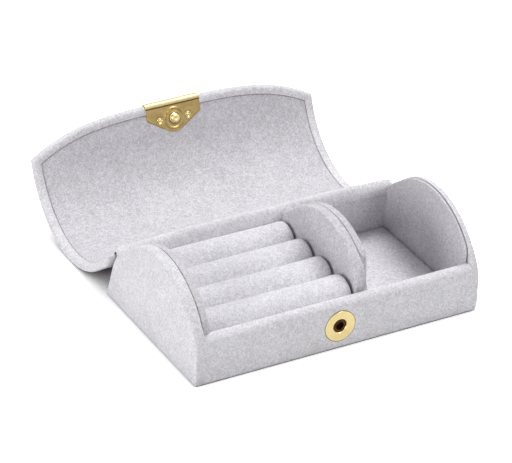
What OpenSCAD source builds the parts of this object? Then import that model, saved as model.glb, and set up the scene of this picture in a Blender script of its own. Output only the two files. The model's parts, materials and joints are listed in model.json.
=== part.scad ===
// Travel jewellery box: a half-barrel suede-covered case with a padded lid on a cloth
// hinge, four ring rolls, one open compartment and a press-stud clasp.
// X runs along the length, Y from the front to the back, Z up. The origin is the middle
// of the underside. The lid is drawn shut and then swung open about the hinge.

/* [Base] */
// Length of the base over its two ends
box_w = 161; // [150:1:170]
// Depth from the front face to the foot of the back wall
box_d = 98; // [97:0.5:100]
// Height of the front wall at its rounded top
front_h = 26.2; // [25.8:0.1:27]
// Thickness of the padded front wall
front_t = 8; // [7.6:0.1:8.4]
// Distance from the foot of the back wall to the inside face of that wall
back_t = 12.7; // [12.4:0.1:13.2]
// Thickness of the left end up to its lining panel
left_end_t = 6; // [5.6:0.1:6.4]
// Thickness of the right end up to its lining panel
right_end_t = 3.4; // [3.2:0.1:4]
// Thickness that the padded lining panel adds inside the left end
left_lining_t = 4.7; // [4:0.1:5]
// Thickness that the lining panel adds inside the right end
right_lining_t = 1.8; // [1.6:0.1:2.2]

/* [Arch] */
// Radius of the barrel-shaped ends
arch_r = 44; // [43.8:0.1:44.4]
// Distance from the front face to the centre of the arch
arch_in = 42; // [41.6:0.1:42.4]
// Height of the centre of the arch
arch_z = 7.6; // [7.2:0.1:8]
// Distance from the front face to the hinge line
hinge_in = 88; // [87.5:0.1:88.5]
// Height of the hinge line
hinge_z = 28.4; // [28:0.1:28.8]

/* [Lid] */
// How far the lid stands past each end of the base
lid_over = 3; // [2:0.1:3.4]
// Clearance between the shut lid and the arch
lid_gap = 1; // [0.9:0.05:1.1]
// Thickness of the lid with its cover and lining
lid_t = 3.5; // [3.3:0.1:3.8]
// Width of the cover that is turned in round the lid's edges
border = 5; // [4:0.1:6]
// Angle that the lid swings through from open to shut
lid_swing = 180.7; // [176:0.1:180.8]
// Angle that the front of the lid is bent in by to press the stud home
flap_bend = 18; // [17:0.5:19]
// Height of the lid's front corners above the underside when shut
corner_z = 18; // [16:0.1:18.4]
// Height of the middle of the lid's free edge when shut
edge_z = 3.6; // [3.4:0.1:3.8]

/* [Ring rolls and divider] */
// Number of ring rolls
roll_count = 4; // [4:1:4]
// Radius of the rounded top of a ring roll
roll_r = 9.55; // [9.3:0.05:9.55]
// Height of the centre of that rounded top
roll_z = 20.2; // [19.6:0.1:20.4]
// Distance from the middle of the box to the left face of the divider
divider_x = 13; // [5:1:20]
// Thickness of the divider's left panel
divider_left_t = 5.4; // [5:0.1:6]
// Thickness of the divider's right panel
divider_right_t = 4.1; // [3.8:0.1:4.6]

/* [Press stud and clasp] */
// Outer diameter of the socket's face ring
ring_d = 17; // [15:0.5:18]
// Diameter of the hole in the face ring
ring_hole = 7; // [6.6:0.1:7.2]
// Height of the press stud when the lid is shut
snap_z = 13; // [12.8:0.1:13.2]
// Diameter of the stud's head
stud_d = 4.8; // [4.6:0.1:5]
// How far the stud stands out of the clasp plate
stud_h = 2.7; // [2.6:0.1:2.8]
// Width of the clasp plate
plate_w = 32; // [28:1:36]
// Height of the clasp plate's straight sides above its fold
plate_side = 9; // [8.6:0.1:9.4]
// Thickness of the clasp's brass sheet
plate_t = 0.5; // [0.4:0.05:0.6]

/* [Hidden] */

suede = "#cfcdd3";
suede_inner = "#c4c1c9";
greyboard = "#9a948a";
foam = "#e9e6da";
brass = "#c9a44a";

$fn = 96;
skin = 0.9;
under_t = 0.7;
board_t = 2.5;
floor_z = under_t + board_t;
// Clearance between glued pieces, overshoot of cuts, and a length past the whole box
hair = 0.05;
cut = 1;
far = 2 * arch_r;

front_y = -box_d / 2;
back_y = box_d / 2;
end_x = box_w / 2;
in_left = left_end_t - end_x;
in_right = end_x - right_end_t;
room_left = in_left + left_lining_t;
room_right = in_right - right_lining_t;
room_front = front_y + front_t;
room_back = back_y - back_t;

// The arch and the straight slope from it down to the hinge, which meets the arch a
// hair inside its circle so that the two cross
bite = 0.05;
arch_c = [front_y + arch_in, arch_z];
hinge = [front_y + hinge_in, hinge_z];
to_hinge = hinge - arch_c;
slope_a = atan2(to_hinge[1], to_hinge[0]) + acos((arch_r - bite) / norm(to_hinge));
slope_in = [-sin(slope_a), cos(slope_a)];
slope_out = [cos(slope_a), sin(slope_a)];
back_up = (hinge - [back_y, 0]) / norm(hinge - [back_y, 0]);
back_in = [-back_up[1], back_up[0]];

function cross2(a, b) = a[0] * b[1] - a[1] * b[0];
// Point where the line from p along u meets the line from q along v
function meet(p, u, q, v) = p + u * cross2(q - p, v) / cross2(u, v);
// Point on a circle round the arch's centre
function on_arch(r, a) = arch_c + r * [cos(a), sin(a)];
// Top corner of the back wall, moved in from the slope and from the back face
function back_corner(in) = meet(hinge - in * slope_out, slope_in,
                                [back_y, 0] + in * back_in, back_up);
// Point of the back face at height z, moved in from that face
function back_at(z, in) = meet([0, z], [1, 0], [back_y, 0] + in * back_in, back_up);
// Point of the shut lid: s along the slope from the hinge, n out from the slope
function on_slope(s, n) = hinge + s * slope_in + n * slope_out;

// Draws a Y-Z section and runs it along X
module along_x(x0, x1) {
  translate([x0, 0, 0])
    rotate([90, 0, 90])
      linear_extrude(x1 - x0)
        children();
}

// Draws an X-Z outline and runs it along Y
module along_y(y0, y1) {
  translate([0, y1, 0])
    rotate([90, 0, 0])
      linear_extrude(y1 - y0)
        children();
}

// Turns a round profile about the press stud's axis, pointing out of the front wall
module about_snap(y) {
  translate([0, y, snap_z])
    rotate([90, 0, 0])
      children();
}

// Wedge seen from the arch's centre between two angles less than 180 degrees apart
module wedge(a0, a1) {
  polygon([
    arch_c, on_arch(far, a0), on_arch(far * 1.5, (a0 + a1) / 2), on_arch(far, a1)
  ]);
}

// End profile: flat front, arch, slope to the hinge and leaning back, moved in all round
module arch_section(in, foot) {
  ridge = back_corner(in) + far / 2 * slope_in;
  difference() {
    polygon([
      [front_y + in, foot], back_at(foot, in), back_corner(in),
      ridge, [front_y + in, ridge[1]]
    ]);
    difference() {
      wedge(slope_a, 180);
      translate(arch_c)
        circle(r = arch_r - in, $fn = 180);
    }
  }
}

// Rectangle whose top right corner is rounded
module soft_top(y0, y1, z0, z1, r) {
  translate([y0, z0])
    square([y1 - y0 - r, z1 - z0]);
  translate([y0, z0])
    square([y1 - y0, z1 - z0 - r]);
  translate([y1 - r, z1 - r])
    circle(r = r);
}

// ---- Base: floor, ends and walls ----

lining_let_in = 1;
lining_drop = 0.15;
lining_front = 4.6;

module underside_cover() {
  color(suede)
    along_x(in_left, in_right)
      polygon([
        [front_y + skin, 0], back_at(0, skin),
        back_at(under_t, skin), [front_y + skin, under_t]
      ]);
}

module base_board() {
  color(greyboard)
    along_x(-end_x + skin, end_x - skin)
      polygon([
        [front_y + skin, under_t], back_at(under_t, skin),
        back_at(floor_z, skin), [front_y + skin, floor_z]
      ]);
}

// Each end is drawn as the right one; the left one is its mirror image. The end cover is
// a tray of suede, in_x from the middle, whose rim is the arch's edge.
module end_cover(side, in_x) {
  color(suede)
    mirror([side < 0 ? 1 : 0, 0, 0])
      difference() {
        along_x(in_x, end_x)
          arch_section(0, 0);
        along_x(in_x - cut, end_x - skin)
          arch_section(skin, under_t);
      }
}

module end_board(side, in_x) {
  color(greyboard)
    mirror([side < 0 ? 1 : 0, 0, 0])
      along_x(in_x + lining_let_in, end_x - skin)
        arch_section(skin, floor_z);
}

// Space above the floor for an upright panel between the walls, whose front edge stands
// over_front behind the front face
module between_walls(over_front) {
  difference() {
    translate([front_y, floor_z])
      square([box_d, arch_z + arch_r]);
    translate([front_y, 0])
      square([front_t + hair, front_h + hair]);
    translate([front_y, 0])
      square([over_front, far]);
    translate([room_back - hair, 0])
      square([box_d, back_roll_z]);
    back_roll(hair);
    translate([back_roll_y, back_roll_z])
      square(box_d);
  }
}

// The end lining sits in the cover's tray and hides its turned edges
module end_lining(side, in_x, lining_t) {
  color(suede_inner)
    mirror([side < 0 ? 1 : 0, 0, 0])
      along_x(in_x - lining_t, in_x + lining_let_in)
        intersection() {
          arch_section(skin + lining_drop, floor_z);
          between_walls(lining_front);
        }
}

// The front wall: a board behind the suede, foam behind the board, and a soft shoulder
front_board_t = 3;
shoulder_r = 3;
washer_y = front_y + skin + front_board_t;
washer_t = 0.6;
washer_r = 6.5;
barrel_r = ring_hole / 2 + 0.7;

module front_section(in) {
  intersection() {
    arch_section(in, floor_z);
    soft_top(front_y + in, room_front - in, floor_z, front_h - in, shoulder_r - in);
  }
}

module front_wall_cover() {
  color(suede)
    difference() {
      union() {
        along_x(in_left, in_right)
          front_section(0);
        along_x(in_left, in_right)
          translate([front_y, 0])
            square([skin, floor_z]);
      }
      along_x(in_left - cut, in_right + cut)
        front_section(skin);
      about_snap(front_y + skin + cut)
        cylinder(h = skin + 2 * cut, r = barrel_r);
    }
}

module front_wall_board() {
  color(greyboard)
    difference() {
      along_x(in_left, in_right)
        intersection() {
          front_section(skin);
          translate([front_y + skin, floor_z])
            square([front_board_t, front_h]);
        }
      about_snap(washer_y + cut)
        cylinder(h = front_board_t + 2 * cut, r = barrel_r);
    }
}

module front_wall_foam() {
  color(foam)
    difference() {
      along_x(in_left, in_right)
        intersection() {
          front_section(skin);
          translate([washer_y, floor_z])
            square([front_t, front_h]);
        }
      about_snap(washer_y + washer_t)
        cylinder(h = washer_t + cut, r = washer_r);
    }
}

// The back wall: leaning outer skin and board, a foam wedge and a lining with a rolled top
back_roll_r = 2.5;
back_roll_y = room_back - 0.3;
back_roll_z = hinge_z - 1.1;
back_board_t = 2.5;

// Foot and top of the boundary between the back wall's board and its foam
board_foot = back_at(floor_z, skin + back_board_t);
board_top = meet([room_back + skin, 0], [0, 1],
                 [back_y, 0] + (skin + back_board_t) * back_in, back_up);

module back_roll(grow) {
  translate([back_roll_y, back_roll_z])
    circle(r = back_roll_r + grow);
}

module back_wall_cover() {
  color(suede)
    along_x(in_left, in_right)
      difference() {
        polygon([
          back_at(0, 0), back_corner(0), back_corner(skin - hair), back_at(0, skin - hair)
        ]);
        back_roll(0);
      }
}

module back_wall_board() {
  color(greyboard)
    along_x(in_left, in_right)
      difference() {
        polygon([
          board_foot, back_at(floor_z, skin), back_at(back_roll_z, skin),
          [room_back + skin, back_roll_z], board_top
        ]);
        back_roll(0);
      }
}

module back_wall_foam() {
  color(foam)
    along_x(in_left, in_right)
      polygon([[room_back + skin, floor_z], board_foot, board_top]);
}

module back_wall_lining() {
  color(suede_inner)
    along_x(in_left, in_right) {
      back_roll(0);
      translate([room_back, floor_z])
        square([skin, back_roll_z - floor_z]);
    }
}

// ---- Inside the base: floor, divider and ring rolls ----

tray_t = 2;
floor_lining_t = 2.8;
divider_front = front_t + 0.4;
divider_seam_x = divider_x + divider_left_t;
divider_end_x = divider_seam_x + divider_right_t;

module ring_tray() {
  color(suede_inner)
    translate([room_left, room_front, floor_z])
      cube([divider_x - room_left, room_back - room_front, tray_t]);
}

module floor_lining() {
  color(suede_inner)
    translate([divider_end_x, room_front, floor_z])
      cube([room_right - divider_end_x, room_back - room_front, floor_lining_t]);
}

// Outline of the divider, a little lower than the ends
divider_drop = 0.3;

module divider_section(in) {
  intersection() {
    arch_section(divider_drop + in, floor_z + in);
    between_walls(divider_front + in);
  }
}

// A divider panel is a suede tray round a board, open on the side of the other panel
module divider_cover(x0, x1, open_x) {
  difference() {
    along_x(x0, x1)
      divider_section(0);
    along_x(min(open_x, x0 + skin), max(open_x, x1 - skin))
      divider_core();
  }
}

module divider_core() {
  intersection() {
    divider_section(skin);
    translate([front_y, 0])
      square([room_back - skin - front_y, arch_z + arch_r]);
  }
}

module divider_left_cover() {
  color(suede_inner)
    divider_cover(divider_x, divider_seam_x - hair, divider_seam_x);
}

module divider_left_board() {
  color(greyboard)
    along_x(divider_x + skin, divider_seam_x - hair)
      divider_core();
}

module divider_right_cover() {
  color(suede_inner)
    divider_cover(divider_seam_x + hair, divider_end_x, divider_seam_x);
}

module divider_right_board() {
  color(greyboard)
    along_x(divider_seam_x + hair, divider_end_x - skin)
      divider_core();
}

// Ring rolls lie side by side and press against each other
roll_pitch = (room_back - room_front) / roll_count;
roll_low_z = floor_z + tray_t + roll_r;
roll_gap = 0.15;

module roll_section(i, r) {
  y = room_front + roll_pitch * (roll_count - i + 0.5);
  translate([y, roll_z])
    circle(r = r);
  translate([y, roll_low_z])
    circle(r = r);
  translate([y - r, roll_low_z])
    square([2 * r, roll_z - roll_low_z]);
}

module ring_roll(i) {
  color(suede_inner)
    difference() {
      along_x(room_left + roll_gap, divider_x - roll_gap)
        intersection() {
          roll_section(i, roll_r);
          roll_room();
        }
      along_x(room_left + roll_gap + skin, divider_x - roll_gap - skin)
        roll_section(i, roll_r - skin);
    }
}

// The rearmost roll is pressed flat where it meets the rolled top of the back wall
module roll_room() {
  difference() {
    translate([room_front, floor_z])
      square([room_back - room_front, arch_r]);
    back_roll(hair);
  }
}

module ring_roll_core(i) {
  color(foam)
    along_x(room_left + roll_gap + skin, divider_x - roll_gap - skin)
      roll_section(i, roll_r - skin);
}

// ---- Press stud: socket in the front wall ----

ring_proud = 0.25;
ring_edge = 0.1;
ring_dish = 0.35;
barrel_len = skin + front_board_t + washer_t;
cup_mouth = 0.6;
cup_wall = 0.7;
cup_floor = 0.6;
spring_wire_r = 0.28;
spring_gap_a = 30;

// Face ring with a chamfered rim, a raised land, a dished inner edge and a barrel
module snap_ring() {
  color(brass)
    about_snap(front_y)
      rotate_extrude()
        polygon([
          [ring_hole / 2, -barrel_len], [barrel_r, -barrel_len], [barrel_r, 0],
          [ring_d / 2, 0], [ring_d / 2, ring_edge], [ring_d / 2 - 0.3, ring_proud],
          [barrel_r + 0.9, ring_proud], [barrel_r + 0.3, ring_edge],
          [ring_hole / 2, -ring_dish]
        ]);
}

// Cup pressed into the barrel from behind
module snap_socket() {
  cup_in = ring_hole / 2 - cup_wall;
  color(brass)
    about_snap(front_y)
      rotate_extrude()
        polygon([
          [0, -barrel_len], [ring_hole / 2, -barrel_len], [ring_hole / 2, -cup_mouth],
          [cup_in, -cup_mouth], [cup_in, cup_floor - barrel_len],
          [0, cup_floor - barrel_len]
        ]);
}

// The spring is a split ring of wire in the socket's mouth
module snap_spring() {
  color(brass)
    about_snap(front_y)
      translate([0, 0, -cup_mouth + spring_wire_r])
        rotate([0, 0, (spring_gap_a - 180) / 2])
          rotate_extrude(angle = 360 - spring_gap_a)
            translate([stud_d / 2 + hair, 0])
              circle(r = spring_wire_r, $fn = 24);
}

module snap_washer() {
  color(brass)
    about_snap(washer_y + washer_t)
      difference() {
        cylinder(h = washer_t, r = washer_r);
        translate([0, 0, -cut])
          cylinder(h = washer_t + 2 * cut, r = barrel_r);
      }
}

// ---- Lid: cloth hinge and the arched shell ----

lid_x = end_x + lid_over;
lid_r0 = arch_r + lid_gap;
lid_r1 = lid_r0 + lid_t;
lining_lid_t = 1;
lid_lining_r = lid_r0 + lining_lid_t;
lid_board_r = lid_r1 - skin;
lid_start = 9.5;
flex_a = 180 - flap_bend;
flex_gap = 0.15;

// Swings what is drawn shut to the open lid
module lid_open() {
  translate([0, hinge[0], hinge[1]])
    rotate([-lid_swing, 0, 0])
      translate([0, -hinge[0], -hinge[1]])
        children();
}

// Side of the lid that faces the base, out to radius r round the arch
module under_lid(r) {
  arch_section(arch_r - r, -far);
}

// Band of the lid between two radii, from s past the hinge to the bend of the flap
module lid_band(r0, r1, s) {
  bend_a = flex_a - flex_gap / lid_r0 * 180 / PI;
  intersection() {
    difference() {
      under_lid(r1);
      under_lid(r0);
    }
    polygon([
      arch_c, on_arch(far, bend_a), on_arch(far * 1.5, (bend_a + slope_a) / 2),
      on_slope(s, far), on_slope(s, -arch_r / 2)
    ]);
  }
}

module lid_cover() {
  color(suede)
    lid_open()
      difference() {
        along_x(-lid_x, lid_x)
          lid_band(lid_r0, lid_r1, lid_start);
        along_x(skin - lid_x, lid_x - skin)
          lid_band(lid_lining_r, lid_board_r, lid_start + skin);
        along_x(border - lid_x, lid_x - border)
          lid_band(lid_r0 - 1, lid_lining_r, lid_start + skin);
      }
}

module lid_board() {
  color(greyboard)
    lid_open()
      along_x(skin - lid_x, lid_x - skin)
        lid_band(lid_lining_r, lid_board_r, lid_start + skin);
}

module lid_lining() {
  color(suede_inner)
    lid_open()
      along_x(border - lid_x, lid_x - border)
        lid_band(lid_r0, lid_lining_r, lid_start + skin);
}

// Doubled cloth between the back wall's top and the lid, thin where it folds
strip_fold = 0.9;
strip_full = 5.6;
strip_t = 1.6;

module hinge_strip() {
  color(suede)
    lid_open()
      along_x(1 - end_x, end_x - 1)
        polygon([
          on_slope(strip_fold, 0.15), on_slope(lid_start, lid_gap),
          on_slope(lid_start, lid_gap + strip_t), on_slope(strip_full, lid_gap + strip_t),
          on_slope(strip_fold, 0.4)
        ]);
}

// ---- Flap: the front of the lid, which bends in to press the stud home ----

flex = on_arch(lid_r0, flex_a);
flap_y1 = flex[0];
flap_y0 = flap_y1 - lid_t;
flap_top = flex[1] - flex_gap;
edge_power = 3.5;
edge_steps = 28;

// Swings the pressed flap out to its relaxed place on the lid, then opens the lid
module flap_relaxed() {
  lid_open()
    translate([0, flex[0], flex[1]])
      rotate([-flap_bend, 0, 0])
        translate([0, -flex[0], -flex[1]])
          children();
}

// Height of the free edge: flat over the middle and rising fast to the corners
function edge_at(u) = edge_z + (corner_z - edge_z) * abs(u) ^ edge_power;

// Outline of the flap below the height top, moved in from its sides and its free edge
module flap_outline(in, top) {
  w = lid_x - in;
  polygon(concat(
    [[w, top], [-w, top]],
    [for (i = [0 : edge_steps])
      let (u = sin(90 * (2 * i / edge_steps - 1)))
      [u * w, edge_at(u * w / lid_x) + in]]
  ));
}

module flap_cover() {
  color(suede)
    flap_relaxed()
      difference() {
        along_y(flap_y0, flap_y1)
          flap_outline(0, flap_top);
        along_y(flap_y0 + skin, flap_y1 - lining_lid_t)
          flap_outline(skin, flap_top + cut);
        along_y(flap_y1 - lining_lid_t - hair, flap_y1 + cut)
          flap_outline(border, flap_top + cut);
        clasp_sheet();
      }
}

module flap_board() {
  color(greyboard)
    flap_relaxed()
      difference() {
        along_y(flap_y0 + skin, flap_y1 - lining_lid_t)
          flap_outline(skin, flap_top);
        clasp_holes();
        about_snap(flap_y0 + skin + cap_t)
          cylinder(h = cap_t + cut, r = cap_r);
      }
}

module flap_lining() {
  color(suede_inner)
    flap_relaxed()
      difference() {
        along_y(flap_y1 - lining_lid_t, flap_y1)
          flap_outline(border, flap_top);
        clasp_sheet();
        clasp_holes();
      }
}

// ---- Clasp plate with its rivets and the stud ----

plate_y1 = flap_y1;
plate_y0 = plate_y1 - plate_t;
fold_y0 = flap_y0 - plate_t / 2;
fold_z = edge_z - plate_t;
fold_r = 1;
fold_proud = 0.45;
fold_h = 2.6;
return_h = 5;
tip_r = 7.6;
rivet_x = 8.3;
rivet_z = snap_z - 0.3;
rivet_r = 1.3;
rivet_pin_r = 0.6;
rivet_h = 0.4;
rivet_len = 2.3;
post_r = 1.2;
cap_r = 3;
cap_t = 0.4;

// Point where a line from a corner of the plate touches the round tip
function tip_touch(p, c, r) =
  let (d = p - c, a = atan2(d[1], d[0]) + acos(r / norm(d)))
  c + r * [cos(a), sin(a)];

module plate_outline() {
  side = [plate_w / 2, fold_z + plate_side];
  touch = tip_touch(side, [0, snap_z], tip_r);
  polygon([
    [-side[0], fold_z + fold_r], [side[0], fold_z + fold_r], side,
    touch, [-touch[0], touch[1]], [-side[0], side[1]]
  ]);
  translate([0, snap_z])
    circle(r = tip_r);
}

// Section of the fold round the free edge: rounded, standing a little proud of the plate,
// with a taller return on the outside of the lid
module fold_section() {
  proud_y = plate_y1 + fold_proud;
  difference() {
    union() {
      translate([fold_y0, fold_z + fold_r])
        square([plate_y0 - fold_y0, return_h - fold_r]);
      translate([fold_y0 + fold_r, fold_z])
        square([proud_y - fold_y0 - 2 * fold_r, fold_h]);
      translate([plate_y0, fold_z + fold_r])
        square([proud_y - plate_y0, fold_h - 2 * fold_r]);
      translate([fold_y0 + fold_r, fold_z + fold_r])
        circle(r = fold_r);
      translate([proud_y - fold_r, fold_z + fold_r])
        circle(r = fold_r);
      translate([proud_y - fold_r, fold_z + fold_h - fold_r])
        circle(r = fold_r);
    }
    translate([fold_y0 + plate_t, fold_z + plate_t])
      square([plate_y0 - fold_y0 - plate_t, return_h]);
  }
}

module clasp_sheet() {
  along_y(plate_y0, plate_y1)
    plate_outline();
  along_x(-plate_w / 2, plate_w / 2)
    fold_section();
}

// Holes for the stud's post and the rivets' pins, through the plate, lining and board
module clasp_holes() {
  depth = plate_y1 - flap_y0;
  about_snap(plate_y1 + cut)
    cylinder(h = depth, r = post_r);
  for (side = [-1, 1])
    translate([side * rivet_x, plate_y1 + cut, rivet_z])
      rotate([90, 0, 0])
        cylinder(h = depth, r = rivet_pin_r);
}

module clasp_plate() {
  color(brass)
    flap_relaxed()
      difference() {
        clasp_sheet();
        clasp_holes();
      }
}

// Half section of a rivet: a cap of a large sphere on a pin
module rivet_section() {
  dome_r = (rivet_r ^ 2 + rivet_h ^ 2) / (2 * rivet_h);
  intersection() {
    translate([0, rivet_h - dome_r])
      circle(r = dome_r);
    square(rivet_r);
  }
  translate([0, -rivet_len])
    square([rivet_pin_r, rivet_len + hair]);
}

module clasp_rivets() {
  color(brass)
    flap_relaxed()
      for (side = [-1, 1])
        translate([side * rivet_x, plate_y1, rivet_z])
          rotate([-90, 0, 0])
            rotate_extrude()
              rivet_section();
}

// The stud: a bead round its foot, a narrow neck, a domed head with chamfered shoulders,
// and a post that reaches the cap
neck_h = 1.4;
neck_r = 1.7;
foot_t = 0.1;
foot_r = 6;
bead_r = 5.5;
bead_h = 0.3;
head_slope = 0.3;
dome_in = 0.9;
dome_r = 0.8;

module bead_section() {
  intersection() {
    translate([bead_r, foot_t])
      circle(r = bead_h, $fn = 32);
    translate([0, foot_t / 2])
      square([2 * bead_r, bead_h + foot_t]);
  }
}

module stud_head_section() {
  head_r = stud_d / 2;
  polygon([
    [0, neck_h], [head_r - head_slope, neck_h], [head_r, neck_h + head_slope],
    [head_r, stud_h - dome_in], [head_r - head_slope, stud_h - dome_in / 2],
    [head_r - dome_in, stud_h - 0.1], [dome_r, stud_h], [0, stud_h]
  ]);
}

module snap_stud() {
  post_len = plate_y1 - flap_y0 - skin;
  color(brass)
    flap_relaxed()
      translate([0, plate_y1, snap_z])
        rotate([-90, 0, 0])
          rotate_extrude() {
            translate([0, -post_len])
              square([post_r, post_len + hair]);
            square([foot_r, foot_t]);
            bead_section();
            square([neck_r, neck_h + hair]);
            stud_head_section();
          }
}

// Rivet cap on the stud's post, let into the board under the outer cover
module stud_cap() {
  color(brass)
    flap_relaxed()
      about_snap(flap_y0 + skin + cap_t)
        difference() {
          cylinder(h = cap_t, r = cap_r);
          translate([0, 0, -cut])
            cylinder(h = cap_t + 2 * cut, r = post_r);
        }
}

underside_cover();
base_board();
end_cover(-1, -in_left);  // left_end_cover
end_board(-1, -in_left);  // left_end_board
end_lining(-1, -in_left, left_lining_t);  // left_end_lining
end_cover(1, in_right);  // right_end_cover
end_board(1, in_right);  // right_end_board
end_lining(1, in_right, right_lining_t);  // right_end_lining
front_wall_cover();
front_wall_board();
front_wall_foam();
back_wall_cover();
back_wall_board();
back_wall_foam();
back_wall_lining();
ring_tray();
floor_lining();
divider_left_cover();
divider_left_board();
divider_right_cover();
divider_right_board();
ring_roll(1);  // ring_roll_1
ring_roll(2);  // ring_roll_2
ring_roll(3);  // ring_roll_3
ring_roll(4);  // ring_roll_4
ring_roll_core(1);  // ring_roll_core_1
ring_roll_core(2);  // ring_roll_core_2
ring_roll_core(3);  // ring_roll_core_3
ring_roll_core(4);  // ring_roll_core_4
snap_ring();
snap_socket();
snap_spring();
snap_washer();
hinge_strip();
lid_cover();
lid_board();
lid_lining();
flap_cover();
flap_board();
flap_lining();
clasp_plate();
clasp_rivets();
snap_stud();
stud_cap();
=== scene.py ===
import json
import math

import bmesh
import bpy
import numpy as np
from mathutils import Matrix, Vector


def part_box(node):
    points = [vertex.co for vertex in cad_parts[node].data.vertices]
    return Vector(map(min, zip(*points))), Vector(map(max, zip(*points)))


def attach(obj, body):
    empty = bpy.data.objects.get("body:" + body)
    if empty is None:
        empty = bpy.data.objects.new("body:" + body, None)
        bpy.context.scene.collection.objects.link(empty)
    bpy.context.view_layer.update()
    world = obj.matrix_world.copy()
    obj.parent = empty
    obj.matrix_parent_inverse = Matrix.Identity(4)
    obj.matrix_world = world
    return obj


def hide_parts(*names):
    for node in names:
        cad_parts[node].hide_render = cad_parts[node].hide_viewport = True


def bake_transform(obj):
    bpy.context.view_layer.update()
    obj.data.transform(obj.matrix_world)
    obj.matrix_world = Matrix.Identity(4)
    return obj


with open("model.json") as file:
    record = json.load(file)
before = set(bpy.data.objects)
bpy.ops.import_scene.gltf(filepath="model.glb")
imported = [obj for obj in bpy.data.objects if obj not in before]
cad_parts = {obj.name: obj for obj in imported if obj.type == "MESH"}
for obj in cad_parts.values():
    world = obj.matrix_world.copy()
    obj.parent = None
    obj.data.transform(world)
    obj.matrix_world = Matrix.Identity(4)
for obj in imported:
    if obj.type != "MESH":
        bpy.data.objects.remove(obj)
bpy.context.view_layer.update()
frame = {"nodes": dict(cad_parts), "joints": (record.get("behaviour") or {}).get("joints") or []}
scene = bpy.context.scene
mm = 0.001  # one millimetre in metres


# ---- The table, the light and the camera ----
# The box stands on a plain white table in soft studio light: a low wide lamp at the left, a
# high one behind on the right, a weak one in front on the right and a pale room all round.

scene.view_settings.view_transform = "Standard"

camera_target = Vector((-2.56, 33.88, 24.0)) * mm
camera_distance = 1683.4 * mm
camera_azimuth = math.radians(-29.22)
camera_elevation = math.radians(30.53)
camera_roll = math.radians(1.458)

back = Vector((
    math.sin(camera_azimuth) * math.cos(camera_elevation),
    -math.cos(camera_azimuth) * math.cos(camera_elevation),
    math.sin(camera_elevation),
))
level = Vector((math.cos(camera_azimuth), math.sin(camera_azimuth), 0.0))
upright = back.cross(level)
right = level * math.cos(camera_roll) + upright * math.sin(camera_roll)
up = upright * math.cos(camera_roll) - level * math.sin(camera_roll)

lens = bpy.data.cameras.new("studio_camera")
lens.sensor_fit = "HORIZONTAL"
lens.sensor_width = 36.0
lens.lens = 232.1
lens.clip_start = 0.01
lens.clip_end = 20.0
camera = bpy.data.objects.new("studio_camera", lens)
camera.matrix_world = Matrix((
    (right.x, up.x, back.x, camera_target.x + back.x * camera_distance),
    (right.y, up.y, back.y, camera_target.y + back.y * camera_distance),
    (right.z, up.z, back.z, camera_target.z + back.z * camera_distance),
    (0.0, 0.0, 0.0, 1.0),
))
scene.collection.objects.link(camera)
scene.camera = camera


def softbox(name, place, aim, size, watts):
    """Square area lamp at place that faces aim."""
    lamp = bpy.data.lights.new(name, "AREA")
    lamp.size = size
    lamp.energy = watts
    piece = bpy.data.objects.new(name, lamp)
    piece.location = place
    piece.rotation_euler = (Vector(aim) - Vector(place)).to_track_quat("-Z", "Y").to_euler()
    scene.collection.objects.link(piece)


middle = (0.0, 0.02, 0.02)
softbox("left_softbox", (-1.45, -0.25, 0.46), middle, 0.7, 11.8)
softbox("top_softbox", (0.48, 0.46, 1.42), middle, 0.8, 18.6)
softbox("front_softbox", (0.65, -1.0, 1.0), middle, 0.5, 5.4)


class Wire:
    """A value in a material: arithmetic on it adds Math nodes to the same tree."""

    def __init__(self, finish, socket):
        self.finish = finish
        self.socket = socket

    def math(self, operation, *values):
        sockets = dict(enumerate(values))
        return self.finish.node("ShaderNodeMath", {"operation": operation}, sockets)

    def __add__(self, other):
        return self.math("ADD", self, other)

    __radd__ = __add__

    def __mul__(self, other):
        return self.math("MULTIPLY", self, other)

    __rmul__ = __mul__

    def __sub__(self, other):
        return self.math("SUBTRACT", self, other)

    def __rsub__(self, other):
        return self.math("SUBTRACT", other, self)

    def clamped(self):
        return self.math("MINIMUM", self.math("MAXIMUM", self, 0.0), 1.0)


class Finish:
    """A material and the one method that adds a node to it."""

    def __init__(self, name):
        self.material = bpy.data.materials.new(name)
        self.material.use_nodes = True
        self.tree = self.material.node_tree
        self.shader = self.tree.nodes["Principled BSDF"]
        self.output = self.tree.nodes["Material Output"]

    def node(self, kind, settings=None, sockets=None, out=0):
        """Node of that kind, its settings made first and then its sockets; returns an output."""
        made = self.tree.nodes.new(kind)
        for key, value in (settings or {}).items():
            setattr(made, key, value)
        for key, value in (sockets or {}).items():
            self.feed(made.inputs[key], value)
        return Wire(self, made.outputs[out])

    def feed(self, socket, value):
        """Links a wire to a socket, or sets the socket's own value."""
        if isinstance(value, Wire):
            self.tree.links.new(value.socket, socket)
        else:
            socket.default_value = value

    def shade(self, sockets):
        """Feeds the shader's sockets by their names."""
        for key, value in sockets.items():
            self.feed(self.shader.inputs[key], value)

    def mix_colours(self, factor, first, second):
        """Blend of two colours by a factor."""
        sockets = {0: factor, 6: first, 7: second}
        return self.node("ShaderNodeMix", {"data_type": "RGBA"}, sockets, out=2)

    def noise(self, scale, detail, place, roughness=0.5, distortion=0.0):
        """Soft random pattern with that many cells to the metre."""
        sockets = {
            "Vector": place, "Scale": scale, "Detail": detail,
            "Roughness": roughness, "Distortion": distortion,
        }
        return self.node("ShaderNodeTexNoise", None, sockets)


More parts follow.
